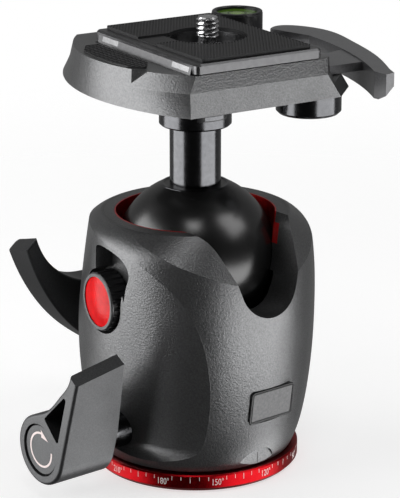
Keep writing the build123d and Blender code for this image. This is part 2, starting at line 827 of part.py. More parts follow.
with BuildPart() as pan_cap:
    with BuildSketch(Plane.YZ.offset(-(pan_lever_outer - pan_cap_height - pan_cap_sink))):
        with Locations((0, pan_z)):
            Circle(pan_cap_radius)
    extrude(amount=-pan_cap_height)
    chamfer(pan_cap.faces().sort_by(Axis.X)[0].edges(), 0.3)
finish(pan_cap, "pan_cap")

# ================================================================ ball and stem
with BuildPart() as ball:
    with Locations((0, 0, ball_z)):
        Sphere(ball_radius)
    split(bisect_by=Plane.XY.offset(ball_flat_z), keep=Keep.BOTTOM)
    with BuildSketch(Plane.XY.offset(ball_flat_z)):
        Circle(spigot_radius + slip)
    extrude(amount=-spigot_depth - spigot_room, mode=Mode.SUBTRACT)
finish(ball, "ball")

stem_top = deck_z - deck_thick - belly_depth
with BuildPart() as stem:
    with BuildSketch(Plane.XY.offset(ball_flat_z)):
        Circle(stem_radius)
    extrude(amount=stem_top + stem_seat - ball_flat_z)
    with BuildSketch(Plane.XY.offset(ball_flat_z)):
        Circle(spigot_radius)
    extrude(amount=-spigot_depth)
    with BuildSketch(Plane.XY.offset(stem_top + stem_seat)):
        Circle(bolt_radius)
    extrude(amount=bolt_end_z - bolt_room - stem_top - stem_seat, mode=Mode.SUBTRACT)
finish(stem, "stem")

with BuildPart() as collar:
    with BuildSketch(Plane.XY.offset(collar_bottom_z)):
        Circle(collar_radius)
        Circle(stem_radius, mode=Mode.SUBTRACT)
    extrude(amount=stem_top - collar_bottom_z)
    with BuildSketch(head_side.offset(collar_radius + 1)):
        with Locations((0, stem_top - 2.0)):
            SlotOverall(collar_slot, collar_slot_width)
    extrude(amount=-collar_slot_depth, mode=Mode.SUBTRACT)
    chamfer(collar.faces().sort_by(Axis.Z)[0].outer_wire().edges(), 0.5)
finish(collar, "collar")

# ================================================================ platform
def platform_outline(nose, right):
    """Plan of the platform: a round nose at -X through three points, cut corners at +X."""
    front, middle, back = nose
    Polyline(
        front,
        (right - platform_cut, front[1]),
        (right, front[1] + platform_cut),
        (right, back[1] - platform_cut),
        (right - platform_cut, back[1]),
        back,
    )
    ThreePointArc(back, middle, front)


deck_bottom = deck_z - deck_thick
with BuildPart() as platform:
    with BuildSketch(head.offset(deck_bottom)):
        with BuildLine():
            platform_outline(nose_bottom, platform_right)
        make_face()
    with BuildSketch(head.offset(bevel_top_z)):
        with BuildLine():
            platform_outline(nose_fold, platform_right - end_slope)
        make_face()
    loft(ruled=True)
    with BuildSketch(head.offset(bevel_top_z)):
        with BuildLine():
            platform_outline(nose_fold, platform_right - end_slope)
        make_face()
    with BuildSketch(head.offset(wall_top_z)):
        with BuildLine():
            platform_outline(nose_top, platform_right - end_slope)
        make_face()
    loft(ruled=True)
    # the tray between the walls, open towards +X
    with BuildSketch(head_side):
        with BuildLine():
            Polyline(
                (jaw_foot_x, deck_z), (platform_right + 5, deck_z), (platform_right + 5, wall_top_z + 1),
                (jaw_top_x, wall_top_z + 1), (jaw_top_x, wall_top_z), close=True,
            )
        make_face()
    extrude(amount=tray_half, both=True, mode=Mode.SUBTRACT)
    with BuildSketch(head.offset(deck_z)):
        with Locations(((wall_end_x + platform_right + 5) / 2, 0)):
            Rectangle(platform_right + 5 - wall_end_x, 3 * platform_back)
    extrude(amount=wall_top_z, mode=Mode.SUBTRACT)
    # belly down to the collar, ear of the level
    with BuildSketch(head.offset(deck_bottom)):
        Circle(belly_radius)
    with BuildSketch(head.offset(stem_top)):
        Circle(belly_radius - belly_depth)
    loft(ruled=True)
    with BuildSketch(head.offset(deck_bottom)):
        with Locations((level_x, level_y)):
            Circle(level_radius)
    extrude(amount=deck_thick)
    with BuildSketch(head.offset(deck_z)):
        with Locations((level_x, level_y)):
            Circle(level_radius)
    extrude(amount=wall_top_z - deck_z, mode=Mode.SUBTRACT)
    # seats of the stem, the bolt, the lever hub and the trip pin
    with BuildSketch(head.offset(stem_top)):
        Circle(stem_radius)
    extrude(amount=stem_seat, mode=Mode.SUBTRACT)
    with BuildSketch(head.offset(stem_top)):
        Circle(bolt_radius + slip)
    extrude(amount=deck_z - stem_top, mode=Mode.SUBTRACT)
    with BuildSketch(head.offset(deck_z)):
        Circle(bolt_head_radius + loose_gap)
    extrude(amount=-bolt_head_height - bolt_sink, mode=Mode.SUBTRACT)
    with BuildSketch(head.offset(deck_bottom)):
        with Locations((lever_x, lever_y)):
            Circle(lever_hub_radius + face_gap)
    extrude(amount=deck_thick, mode=Mode.SUBTRACT)
    with BuildSketch(head.offset(deck_z)):
        with Locations((trip_x, trip_y)):
            Circle(trip_radius + slip)
    extrude(amount=-(deck_thick + belly_depth - trip_floor), mode=Mode.SUBTRACT)
    # thumb wedge in the nose
    with BuildSketch(head.offset(wall_top_z)):
        with BuildLine():
            Polyline((-31.0, -7.6), (-27.6, -9.6), (-23.6, -13.3), (-26.0, -18.5), close=True)
        make_face()
    with BuildSketch(head.offset(wedge_z)):
        with BuildLine():
            Polyline((-31.4, -8.6), (-29.0, -9.9), (-28.6, -10.4), (-30.2, -12.6), close=True)
        make_face()
    loft(ruled=True, mode=Mode.SUBTRACT)
finish(platform, "platform")

with BuildPart() as stem_bolt:
    with BuildSketch(Plane.XY.offset(bolt_end_z)):
        Circle(bolt_radius)
    extrude(amount=deck_z - bolt_head_height - bolt_sink - bolt_end_z)
    with BuildSketch(Plane.XY.offset(deck_z - bolt_head_height - bolt_sink)):
        Circle(bolt_head_radius)
    extrude(amount=bolt_head_height)
    with BuildSketch(Plane.XY.offset(deck_z - bolt_sink)):
        RegularPolygon(bolt_socket, 6)
    extrude(amount=-bolt_socket_depth, mode=Mode.SUBTRACT)
finish(stem_bolt, "stem_bolt")

with BuildPart() as level_housing:
    with BuildSketch(head.offset(deck_z)):
        with Locations((level_x, level_y)):
            Circle(level_radius)
    extrude(amount=level_top_z - deck_z)
    with BuildSketch(head.offset(level_top_z)):
        with Locations((level_x, level_y)):
            Circle(vial_radius)
    extrude(amount=-vial_depth, mode=Mode.SUBTRACT)
    chamfer(level_housing.faces().sort_by(Axis.Z)[-1].outer_wire().edges(), 0.4)
finish(level_housing, "level_housing")

with BuildPart() as level_vial:
    with BuildSketch(head.offset(level_top_z - vial_depth)):
        with Locations((level_x, level_y)):
            Circle(vial_radius)
    extrude(amount=vial_height)
finish(level_vial, "level_vial")

with BuildPart() as grip_pad:
    with BuildSketch(head.offset(wall_top_z)) as grip_plan:
        with BuildLine():
            Polyline(
                (-27.2, 15.0), (-28.2, 6.5), (-28.2, -2.5), (-26.9, -8.6), (-23.2, -12.3), (-19.6, -7.0),
                (-19.6, 20.5), (-23.6, 20.5), close=True,
            )
        make_face()
        fillet(grip_plan.vertices(), 0.6)
    extrude(amount=grip_pad_height)
finish(grip_pad, "grip_pad")

# ================================================================ release lever
pivot_plane = Plane(origin=turned(lever_x, lever_y, 0), x_dir=head.x_dir, z_dir=(0, 0, 1))
with BuildPart() as pivot_boss:
    with BuildSketch(pivot_plane.offset(boss_bottom_z)):
        Circle(boss_radius)
    extrude(amount=deck_bottom - boss_bottom_z)
    with BuildSketch(pivot_plane.offset(deck_bottom)):
        Circle(boss_radius - boss_wall)
    extrude(amount=-boss_depth, mode=Mode.SUBTRACT)
    with BuildSketch(pivot_plane.offset(deck_bottom - boss_depth)):
        Circle(pin_radius)
    extrude(amount=-pin_depth, mode=Mode.SUBTRACT)
    chamfer(pivot_boss.faces().sort_by(Axis.Z)[0].outer_wire().edges(), 0.8)
finish(pivot_boss, "pivot_boss")

pin_foot = deck_bottom - boss_depth
with BuildPart() as lever_pivot:
    with BuildSketch(pivot_plane.offset(pin_foot)):
        Circle(pin_radius)
    extrude(amount=deck_z - face_gap - pin_foot)
finish(lever_pivot, "lever_pivot")

spring_radius = boss_radius - boss_wall - spring_room
lever_spring = tube(pivot_plane.offset(pin_foot), spring_radius, pin_radius + spring_bore, spring_length)
finish(lever_spring, "lever_spring")

hub_bottom = deck_bottom + 0.1
hub_top = deck_z - 0.2
arm_bottom = deck_z + face_gap
arm_top = blade_top_z - 0.4


def flank(z):
    """How far out the camera plate's right flank stands at this height."""
    rise = (z - cam_plate_bottom_z) / (rim_top_z - cam_plate_bottom_z)
    return cam_plate_right + (rim_right - cam_plate_right) * rise


blade_centre = turned(blade_centre_x, blade_centre_y, 0)
blade_side = Plane(origin=blade_centre, x_dir=head.x_dir, z_dir=-head.y_dir)
blade_front = -33.6
blade_rear = 15.0
edge_z = blade_top_z - blade_edge


def on_inner_edge(y):
    """The point of the blade's inner edge at this depth, in the turned frame."""
    return (blade_centre_x + sqrt(blade_inner**2 - (y - blade_centre_y) ** 2), y)


with BuildPart() as release_lever:
    # blade: a bent wedge, tall at its inner edge
    with BuildSketch(head.offset(blade_bottom_z)):
        with BuildLine():
            Spline(
                (44.6, 29.2), (50.2, 31.8), (56.9, 23.4), (56.0, 4.7), (50.0, -16.9), (42.6, -33.6),
            )
            Polyline((42.6, -33.6), (41.0, -37.9), (37.8, -38.6), on_inner_edge(blade_front))
            ThreePointArc(on_inner_edge(blade_front), on_inner_edge(-10.0), on_inner_edge(blade_rear))
            Line(on_inner_edge(blade_rear), (44.6, 29.2))
        make_face()
    extrude(amount=blade_top_z - blade_bottom_z)
    with BuildSketch(blade_side):
        with BuildLine():
            Polyline(
                (blade_inner + blade_foot, blade_bottom_z),
                (blade_inner + blade_foot + (edge_z - blade_bottom_z) / blade_wedge, edge_z),
                (blade_inner + blade_past, edge_z),
                (blade_inner + blade_past, blade_bottom_z - 1),
                (blade_inner + blade_foot, blade_bottom_z - 1),
                close=True,
            )
        make_face()
    revolve(axis=Axis(blade_centre, up), mode=Mode.SUBTRACT)
    # hub in the deck, riser over it, arm and jaw base above the deck
    with BuildSketch(pivot_plane.offset(hub_bottom)):
        Circle(lever_hub_radius)
    extrude(amount=hub_top - hub_bottom)
    with BuildSketch(pivot_plane.offset(hub_top)):
        Circle(lever_hub_radius)
        with Locations((-lever_hub_radius - jaw_back, 0)):
            Rectangle(2 * lever_hub_radius, 3 * lever_hub_radius, mode=Mode.SUBTRACT)
    extrude(amount=arm_bottom - hub_top)
    with BuildSketch(head.offset(arm_bottom)):
        with BuildLine():
            Polyline(
                (lever_x - jaw_back, jaw_y + jaw_width / 2), (lever_x + 4.0, jaw_y + jaw_width / 2),
                (lever_x + 5.6, -8.0), (48.2, -4.0), (45.0, -20.6), (lever_x, -20.6),
                (lever_x - jaw_back, lever_y), close=True,
            )
        make_face()
    extrude(amount=arm_top - arm_bottom)
    # jaw that leans on the plate's flank
    with BuildSketch(head_side.offset(-jaw_y - jaw_width / 2)):
        with BuildLine():
            Polyline(
                (lever_x - jaw_back, arm_top), (lever_x - jaw_back, arm_top - 1.0),
                (flank(arm_top + 0.6) + ball_gap, arm_top + 0.6), (flank(jaw_top_z) + ball_gap, jaw_top_z),
                (lever_x + 3.4, jaw_top_z), (lever_x + 4.0, arm_top), close=True,
            )
        make_face()
    extrude(amount=jaw_width)
    with BuildSketch(pivot_plane.offset(hub_bottom)):
        Circle(pin_radius + slip)
    extrude(amount=deck_z - hub_bottom, mode=Mode.SUBTRACT)
finish(release_lever, "release_lever")

# ================================================================ trip pin
trip_foot = deck_z - (deck_thick + belly_depth - trip_floor)
with BuildPart() as trip_pin:
    with BuildSketch(head.offset(trip_foot + trip_spring_height)):
        with Locations((trip_x, trip_y)):
            Circle(trip_radius)
    extrude(amount=deck_z + trip_over - trip_foot - trip_spring_height)
finish(trip_pin, "trip_pin")

with BuildPart() as trip_spring:
    with BuildSketch(head.offset(trip_foot)):
        with Locations((trip_x, trip_y)):
            Circle(trip_radius - 0.2)
            Circle(trip_radius - 0.8, mode=Mode.SUBTRACT)
    extrude(amount=2.95)
finish(trip_spring, "trip_spring")

# ================================================================ camera plate
with BuildPart() as camera_plate:
    with BuildSketch(head_side):
        with BuildLine():
            Polyline(
                (cam_plate_left, cam_plate_bottom_z), (cam_plate_right, cam_plate_bottom_z),
                (rim_right, rim_top_z), (rim_left, rim_top_z), close=True,
            )
        make_face()
    extrude(amount=cam_plate_half, both=True)
    with BuildSketch(head.offset(rim_bottom_z)):
        with Locations(((rim_left + rim_right) / 2, 0)):
            RectangleRounded(rim_right - rim_left + 2 * rim_over, 2 * rim_half, 1.5)
    extrude(amount=rim_top_z - rim_bottom_z)
    chamfer(camera_plate.faces().sort_by(Axis.Z)[-1].outer_wire().edges(), 0.5)
    with BuildSketch(head.offset(rim_top_z)):
        with Locations((screw_x, 0)):
            Circle(screw_well_radius)
    extrude(amount=screw_well_z - rim_top_z, mode=Mode.SUBTRACT)
    with BuildSketch(head.offset(cam_plate_bottom_z)):
        with Locations((screw_x, 0)):
            Circle(screw_flange_radius + flange_room)
    extrude(amount=flange_top_z + flange_gap - cam_plate_bottom_z, mode=Mode.SUBTRACT)
    with BuildSketch(head.offset(cam_plate_bottom_z)):
        with Locations((screw_x, 0)):
            Circle(camera_screw_radius + slip)
    extrude(amount=rim_top_z - cam_plate_bottom_z, mode=Mode.SUBTRACT)
finish(camera_plate, "camera_plate")

with BuildPart() as rubber_pads:
    with BuildSketch(head.offset(rim_top_z)):
        with Locations(((rim_left + rim_right) / 2, 0)):
            RectangleRounded(pad_width, pad_depth, 1.0)
        with Locations((screw_x, 0)):
            Circle(screw_well_radius + pad_margin, mode=Mode.SUBTRACT)
        with Locations((rim_left, 3.0)):
            Rectangle(2 * (screw_x - rim_left), pad_rib_gap, mode=Mode.SUBTRACT)
    extrude(amount=pad_height)
finish(rubber_pads, "rubber_pads")

screw_plane = Plane(origin=turned(screw_x, 0, 0), x_dir=head.x_dir, z_dir=(0, 0, 1))
flange_bottom_z = flange_top_z - screw_flange_height
with BuildPart() as camera_screw:
    with BuildSketch(screw_plane.offset(flange_bottom_z)):
        Circle(screw_flange_radius)
    extrude(amount=flange_top_z - flange_bottom_z)
    with BuildSketch(screw_plane.offset(flange_top_z)):
        Circle(screw_neck_radius)
    extrude(amount=screw_neck_top - flange_top_z)
    with BuildSketch(screw_plane.offset(screw_neck_top)):
        Circle(camera_screw_radius)
    extrude(amount=camera_screw_top - screw_neck_top)
    chamfer(camera_screw.faces().sort_by(Axis.Z)[-1].edges(), screw_tip)
finish(camera_screw, "camera_screw")

screw_washer = tube(
    screw_plane.offset(screw_well_z), screw_washer_radius, camera_screw_radius + slip, screw_washer_height
)
finish(screw_washer, "screw_washer")

ring_top_z = flange_bottom_z - ring_gap
with BuildPart() as screw_ring:
    with BuildSketch(screw_plane.offset(ring_top_z)):
        Circle(screw_flange_radius + wire)
        Circle(screw_flange_radius - 0.4, mode=Mode.SUBTRACT)
        with Locations((screw_flange_radius + 0.5, 0)):
            Rectangle(4.0, 3 * screw_flange_radius, mode=Mode.SUBTRACT)
        with Locations((screw_flange_radius - 2.5, 0)):
            Rectangle(1.6, 2 * screw_flange_radius - 4.0)
    extrude(amount=-wire)
finish(screw_ring, "screw_ring")
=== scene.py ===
"""Finishes and fine detail of the tripod ball head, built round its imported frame."""
import json
from math import cos, degrees, pi, radians, sin, sqrt

import bmesh
import bpy
from mathutils import Matrix, Vector


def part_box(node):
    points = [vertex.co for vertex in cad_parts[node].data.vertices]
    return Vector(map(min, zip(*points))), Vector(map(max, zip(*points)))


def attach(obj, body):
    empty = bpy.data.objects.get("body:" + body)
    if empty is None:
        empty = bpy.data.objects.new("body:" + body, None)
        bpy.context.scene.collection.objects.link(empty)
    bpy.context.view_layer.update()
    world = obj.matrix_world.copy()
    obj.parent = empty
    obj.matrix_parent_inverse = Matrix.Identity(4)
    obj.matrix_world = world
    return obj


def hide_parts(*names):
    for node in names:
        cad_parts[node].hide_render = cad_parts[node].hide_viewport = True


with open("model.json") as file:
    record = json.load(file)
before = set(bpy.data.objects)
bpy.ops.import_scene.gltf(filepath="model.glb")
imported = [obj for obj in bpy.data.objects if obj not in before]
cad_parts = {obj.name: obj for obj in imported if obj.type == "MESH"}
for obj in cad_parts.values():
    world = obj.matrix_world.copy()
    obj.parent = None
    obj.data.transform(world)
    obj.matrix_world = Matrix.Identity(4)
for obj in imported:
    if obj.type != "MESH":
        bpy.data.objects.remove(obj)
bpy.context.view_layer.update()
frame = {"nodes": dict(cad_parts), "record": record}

bl_info = {
    "name": "Tripod Ball Head",
    "version": (1, 0, 0),
    "blender": (4, 5, 0),
    "location": "View3D > Sidebar > Ball Head",
    "description": "Adds the finishes, engraving, threads and grips of a tripod ball head",
    "category": "Object",
}

MM = 0.001


def mm(*lengths):
    """Lengths in millimetres, as metres."""
    return tuple(length * MM for length in lengths)


# ------------------------------------------------------------------ sizes and places
weld = 0.0005 * MM  # points nearer than this become one
hair = 0.0002 * MM  # slack of a cut
one_face = radians(0.5)  # faces that meet at less than this are one face
crease = radians(35)  # edges bent by more than this stay sharp on a smooth piece

head_turn = Matrix.Rotation(radians(-7.2), 4, "Z")  # the head sits turned on its stem

ring_radius = 30.0 * MM
scale_zero = radians(33.2)  # direction of the zero about the upright axis
label_step = radians(30.0)
label_slack = 0.01  # share of a label's step within which a tick counts as on it
tick_top = 4.85 * MM
short_tick = 1.15 * MM
long_tick = 1.75 * MM
mark_stand = 0.025 * MM  # how far a mark stands out of its face
figure_middle = 3.1 * MM
figure_narrowing = 0.72
figure_share = 0.7  # height of a figure over the size of its type
figure_depth = 0.03 * MM
index_width = 0.32 * MM
index_length = 3.1 * MM
index_middle = mm(-0.1, -28.3, 7.7)

screw_place = Matrix.Translation(mm(4.0, 0, 0))
thread_major = 3.175 * MM
thread_minor = 2.45 * MM
thread_bottom = 125.0 * MM
thread_top = 130.4 * MM
thread_chamfer = 0.6 * MM
thread_overlap = 0.1 * MM  # of the plain shank into the thread
thread_crest = (0.42, 0.58)  # shares of a turn where the crest starts and ends
thread_run_in = 1.3  # turns below the thread's bottom, cut off again
thread_steps = 40

pad_top_slack = 0.01 * MM  # within which a face counts as a pad's top
pad_top_rise = 0.99  # least upward part of its normal
groove_wall = 0.06 * MM  # how far a groove's walls lean in
pad_gap_size = mm(8.4, 10.4, 0.5)  # floor of the gap between the pads
pad_gap_middle = mm(-9.75, 3.0, 124.25)
side_face_size = mm(8.6, 1.7, 0.5)
side_face_rounding = 0.12 * MM
side_face_middles = (mm(-16.62, 18.4, 122.14), mm(-16.62, -19.4, 122.14))
flank_facing = (-0.9641, 0, 0.2656)  # out of the plate's sloping flank

level_place = Matrix.Translation(mm(35.74, 24.41, 0))
bubble_place = Matrix.Translation(mm(0.5, 0.3, 123.38))
bubble_radius = 2.1 * MM
bubble_flatness = 0.08

cap_middle_height = 15.3 * MM
arrow_reach = (-0.05, 0.04)  # millimetres below and above the cap's face

name_plate_lean = radians(8.04)
name_plate_middle = mm(1.2, -32.0, 25.3)


class BallHeadColours(bpy.types.PropertyGroup):
    """Colours of the finishes."""

    powder: bpy.props.FloatVectorProperty(
        name="Powder coat", description="Fine-grained coat of the housing and the platform",
        subtype="COLOR", size=3, min=0.0, max=1.0, default=(0.13, 0.131, 0.133),
    )
    red: bpy.props.FloatVectorProperty(
        name="Anodised red", description="Metal of the scale ring",
        subtype="COLOR", size=3, min=0.0, max=1.0, default=(0.30, 0.004, 0.007),
    )
    lacquer: bpy.props.FloatVectorProperty(
        name="Black lacquer", description="Gloss coat of the ball",
        subtype="COLOR", size=3, min=0.0, max=1.0, default=(0.004, 0.004, 0.004),
    )
    resin: bpy.props.FloatVectorProperty(
        name="Lever resin", description="Satin dark grey of the two lock levers",
        subtype="COLOR", size=3, min=0.0, max=1.0, default=(0.068, 0.069, 0.071),
    )
    blasted: bpy.props.FloatVectorProperty(
        name="Blasted grey", description="Coat of the release lever",
        subtype="COLOR", size=3, min=0.0, max=1.0, default=(0.16, 0.16, 0.165),
    )
    vial: bpy.props.FloatVectorProperty(
        name="Level fluid", description="Yellow-green fluid of the bubble level",
        subtype="COLOR", size=3, min=0.0, max=1.0, default=(0.075, 0.16, 0.012),
    )


class BallHeadSizes(bpy.types.PropertyGroup):
    """Sizes of the engraving and the thread."""

    tick_width: bpy.props.FloatProperty(
        name="Tick width", description="Width of a graduation on the scale ring",
        unit="LENGTH", default=0.17 * MM, min=0.05 * MM, precision=5,
    )
    tick_step: bpy.props.FloatProperty(
        name="Tick step", description="Angle from one graduation to the next",
        subtype="ANGLE", default=radians(5.0), min=radians(1.0),
    )
    figure_height: bpy.props.FloatProperty(
        name="Figure height", description="Height of the numbers on the scale ring",
        unit="LENGTH", default=1.9 * MM, min=0.5 * MM, precision=5,
    )
    thread_pitch: bpy.props.FloatProperty(
        name="Screw pitch", description="Pitch of the camera screw, 20 turns to the inch",
        unit="LENGTH", default=1.27 * MM, min=0.2 * MM, precision=5,
    )


# ------------------------------------------------------------------ shader nodes
def shader(name):
    """A new material with its tree, its principled shader and object coordinates."""
    material = bpy.data.materials.new(name)
    material.use_nodes = True
    tree = material.node_tree
    principled = tree.nodes["Principled BSDF"]
    coordinates = tree.nodes.new("ShaderNodeTexCoord").outputs["Object"]
    return material, tree, principled, coordinates


def fill(node, values):
    """Set a node's sockets by name."""
    for socket, value in values.items():
        node.inputs[socket].default_value = value


def noise(tree, coordinates, scale, detail=2.0, roughness=0.5):
    """A noise texture; scale is in turns per metre."""
    node = tree.nodes.new("ShaderNodeTexNoise")
    fill(node, {"Scale": scale, "Detail": detail, "Roughness": roughness})
    tree.links.new(coordinates, node.inputs["Vector"])
    return node.outputs["Fac"]


def ranged(tree, value, levels, span=(0.0, 1.0), easing="LINEAR"):
    """A value brought from a span to two levels."""
    node = tree.nodes.new("ShaderNodeMapRange")
    node.interpolation_type = easing
    fill(node, {"From Min": span[0], "From Max": span[1], "To Min": levels[0], "To Max": levels[1]})
    tree.links.new(value, node.inputs["Value"])
    return node.outputs["Result"]


def scaled(colour, factor):
    """A colour made darker or lighter."""
    return tuple(min(1.0, channel * factor) for channel in colour)


def mottle(tree, principled, value, colour, span, shades):
    """Colour the shader from one shade of a colour to another, as a value crosses a span."""
    node = tree.nodes.new("ShaderNodeValToRGB")
    for element, position, shade in zip(node.color_ramp.elements, span, shades):
        element.position = position
        element.color = (*scaled(colour, shade), 1.0)
    tree.links.new(value, node.inputs["Fac"])
    tree.links.new(node.outputs["Color"], principled.inputs["Base Color"])


def relief(tree, principled, height, strength, depth):
    """Bump on the shader; depth is in metres."""
    node = tree.nodes.new("ShaderNodeBump")
    fill(node, {"Strength": strength, "Distance": depth})
    tree.links.new(height, node.inputs["Height"])
    tree.links.new(node.outputs["Normal"], principled.inputs["Normal"])


def arithmetic(tree, operation, first, second):
    """Two values brought together by a named operation."""
    node = tree.nodes.new("ShaderNodeMath")
    node.operation = operation
    tree.links.new(first, node.inputs[0])
    tree.links.new(second, node.inputs[1])
    return node.outputs[0]


def mixed(tree, factor, first, second):
    """Two values mixed by a factor; each is a number or a socket."""
    node = tree.nodes.new("ShaderNodeMix")
    tree.links.new(factor, node.inputs["Factor"])
    for socket, value in (("A", first), ("B", second)):
        if isinstance(value, bpy.types.NodeSocket):
            tree.links.new(value, node.inputs[socket])
        else:
            node.inputs[socket].default_value = value
    return node.outputs["Result"]


# ------------------------------------------------------------------ finishes
patch_width = 14  # grains across a patch of even gloss
line_stretch = (0.02, 0.02, 1.0)  # draws a metal's noise out into level lines


def grained_coat(name, colour, grain, roughness, depth, gloss=0.5, flake=0.0):
    """A coat with a fine grain in its colour and its relief; flake is its share of metal."""
    material, tree, principled, at = shader(name)
    fill(principled, {"Metallic": flake, "Specular IOR Level": gloss})
    fine = noise(tree, at, scale=grain, detail=3.0, roughness=0.6)
    broad = noise(tree, at, scale=grain / patch_width)
    mottle(tree, principled, fine, colour, span=(0.3, 0.7), shades=(0.8, 1.2))
    uneven = ranged(tree, broad, (roughness - 0.05, roughness + 0.05))
    tree.links.new(uneven, principled.inputs["Roughness"])
    relief(tree, principled, fine, strength=0.55, depth=depth)
    return material


def metal(name, colour, roughness, lines=0.0, depth=0.0):
    """A metal with fine lines turned round the upright axis, or plain where it has none."""
    material, tree, principled, at = shader(name)
    fill(principled, {"Metallic": 1.0})
    fleck = noise(tree, at, scale=700.0)
    mottle(tree, principled, fleck, colour, span=(0.3, 0.7), shades=(0.88, 1.1))
    uneven = ranged(tree, fleck, (roughness * 0.8, roughness * 1.2))
    tree.links.new(uneven, principled.inputs["Roughness"])
    if lines:
        drawn_out = tree.nodes.new("ShaderNodeMapping")
        fill(drawn_out, {"Scale": line_stretch})
        tree.links.new(at, drawn_out.inputs["Vector"])
        turned = noise(tree, drawn_out.outputs["Vector"], scale=lines)
        relief(tree, principled, turned, strength=0.25, depth=depth)
    else:
        relief(tree, principled, noise(tree, at, scale=900.0), strength=0.05, depth=0.01 * MM)
    return material


def lacquered_black(name, colour):
    """Hard gloss black with the faintest wave in its coat."""
    material, tree, principled, at = shader(name)
    fill(principled, {"Specular IOR Level": 0.75})
    mottle(tree, principled, noise(tree, at, scale=60.0), colour, span=(0.2, 0.8), shades=(0.8, 1.25))
    uneven = ranged(tree, noise(tree, at, scale=220.0), (0.25, 0.28))
    tree.links.new(uneven, principled.inputs["Roughness"])
    relief(tree, principled, noise(tree, at, scale=90.0), strength=0.03, depth=0.05 * MM)
    return material


def fluid(name, colour):
    """Coloured fluid seen through its clear cell."""
    material, tree, principled, at = shader(name)
    mottle(tree, principled, noise(tree, at, scale=120.0), colour, span=(0.2, 0.8), shades=(0.75, 1.2))
    fill(principled, {"Roughness": 0.08, "Coat Weight": 0.3, "Coat Roughness": 0.02})
    return material


def paint(name, colour):
    """Engraving paint, slightly uneven."""
    material, tree, principled, at = shader(name)
    mottle(tree, principled, noise(tree, at, scale=3000.0), colour, span=(0.2, 0.8), shades=(0.85, 1.0))
    fill(principled, {"Roughness": 0.5})
    return material


def make_finishes():
    """Every finish of the head, by name; grain and lines are in turns per metre."""
    tint = bpy.context.scene.ball_head_colours
    recipes = {
        "powder_coat": (grained_coat, dict(
            colour=tint.powder, grain=1900.0, roughness=0.31, depth=0.17 * MM, flake=0.8)),
        "anodised_red": (metal, dict(colour=tint.red, roughness=0.34, lines=9000.0, depth=0.004 * MM)),
        "black_lacquer": (lacquered_black, dict(colour=tint.lacquer)),
        "dark_chrome": (metal, dict(
            colour=(0.085, 0.086, 0.09), roughness=0.2, lines=6000.0, depth=0.003 * MM)),
        "steel": (metal, dict(colour=(0.55, 0.55, 0.56), roughness=0.26, lines=7000.0, depth=0.004 * MM)),
        "bright_metal": (metal, dict(colour=(0.125, 0.125, 0.128), roughness=0.34)),
        "ground_faces": (metal, dict(colour=(0.29, 0.29, 0.295), roughness=0.3)),
        "liner_red": (grained_coat, dict(
            colour=(0.52, 0.008, 0.008), grain=500.0, roughness=0.3, depth=0.004 * MM, flake=0.25)),
        "lever_plastic": (grained_coat, dict(
            colour=tint.resin, grain=2400.0, roughness=0.38, depth=0.02 * MM, flake=0.75)),
        # the lever resin darkened for the lock lever: painted shade, not a resin of its own
        "lock_resin": (grained_coat, dict(
            colour=scaled(tint.resin, 0.7), grain=2400.0, roughness=0.38, depth=0.02 * MM, flake=0.75)),
        "lever_coat": (grained_coat, dict(
            colour=tint.blasted, grain=2600.0, roughness=0.36, depth=0.02 * MM, gloss=0.6, flake=0.6)),
        "black_plastic": (grained_coat, dict(
            colour=(0.010, 0.010, 0.011), grain=2000.0, roughness=0.35, depth=0.012 * MM)),
        "nylon": (grained_coat, dict(
            colour=(0.55, 0.53, 0.48), grain=900.0, roughness=0.5, depth=0.02 * MM)),
        "rubber": (grained_coat, dict(
            colour=(0.012, 0.012, 0.013), grain=2600.0, roughness=0.62, depth=0.04 * MM, gloss=0.35)),
        "red_enamel": (grained_coat, dict(
            colour=(0.60, 0.004, 0.006), grain=300.0, roughness=0.22, depth=0.002 * MM, gloss=0.12)),
        "vial": (fluid, dict(colour=tint.vial)),
        "plate_metal": (grained_coat, dict(
            colour=(0.12, 0.12, 0.122), grain=1200.0, roughness=0.4, depth=0.006 * MM, flake=0.4)),
        "engraving": (paint, dict(colour=(0.78, 0.66, 0.64))),
        "bubble": (fluid, dict(colour=(0.16, 0.27, 0.05))),
    }
    return {name: make(name, **values) for name, (make, values) in recipes.items()}


finishes = {}  # filled by the first step

# nodes whose coat differs from the rest of their slot; the lock lever's is the lever resin darkened as
# painted shade
own_finish = {"socket_liner": "liner_red", "top_ring": "powder_coat", "lock_lever": "lock_resin"}


# ------------------------------------------------------------------ mesh tools
def settle(made, name, body, slot, finish=None, replaced=(), smooth=False):
    """Turn a bmesh into a named piece that rides on a body."""
    bmesh.ops.remove_doubles(made, verts=made.verts, dist=weld)
    if not replaced:  # what replaces a CAD node is made from its mesh, whose faces already point outwards
        bmesh.ops.recalc_face_normals(made, faces=made.faces)
    mesh = bpy.data.meshes.new(name)
    made.to_mesh(mesh)
    made.free()
    if smooth:
        mesh.shade_smooth()
        mesh.set_sharp_from_angle(angle=crease)
    mesh.materials.append(finishes[finish or slot])
    made_piece = bpy.data.objects.new(name, mesh)
    bpy.context.scene.collection.objects.link(made_piece)
    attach(made_piece, body)
    if replaced:
        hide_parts(*replaced)


def carried(node):
    """A merged copy of a CAD node's mesh, with its flat faces whole."""
    made = bmesh.new()
    made.from_mesh(frame["nodes"][node].data)
    bmesh.ops.remove_doubles(made, verts=made.verts, dist=weld)
    bmesh.ops.dissolve_limit(made, angle_limit=one_face, verts=made.verts, edges=made.edges)
    return made


def join(made, other):
    """Take another bmesh into this one."""
    mesh = bpy.data.meshes.new("joined")
    other.to_mesh(mesh)
    other.free()
    made.from_mesh(mesh)
    bpy.data.meshes.remove(mesh)


def move(made, place):
    """Bring a whole bmesh to its place."""
    bmesh.ops.transform(made, matrix=place, verts=made.verts)


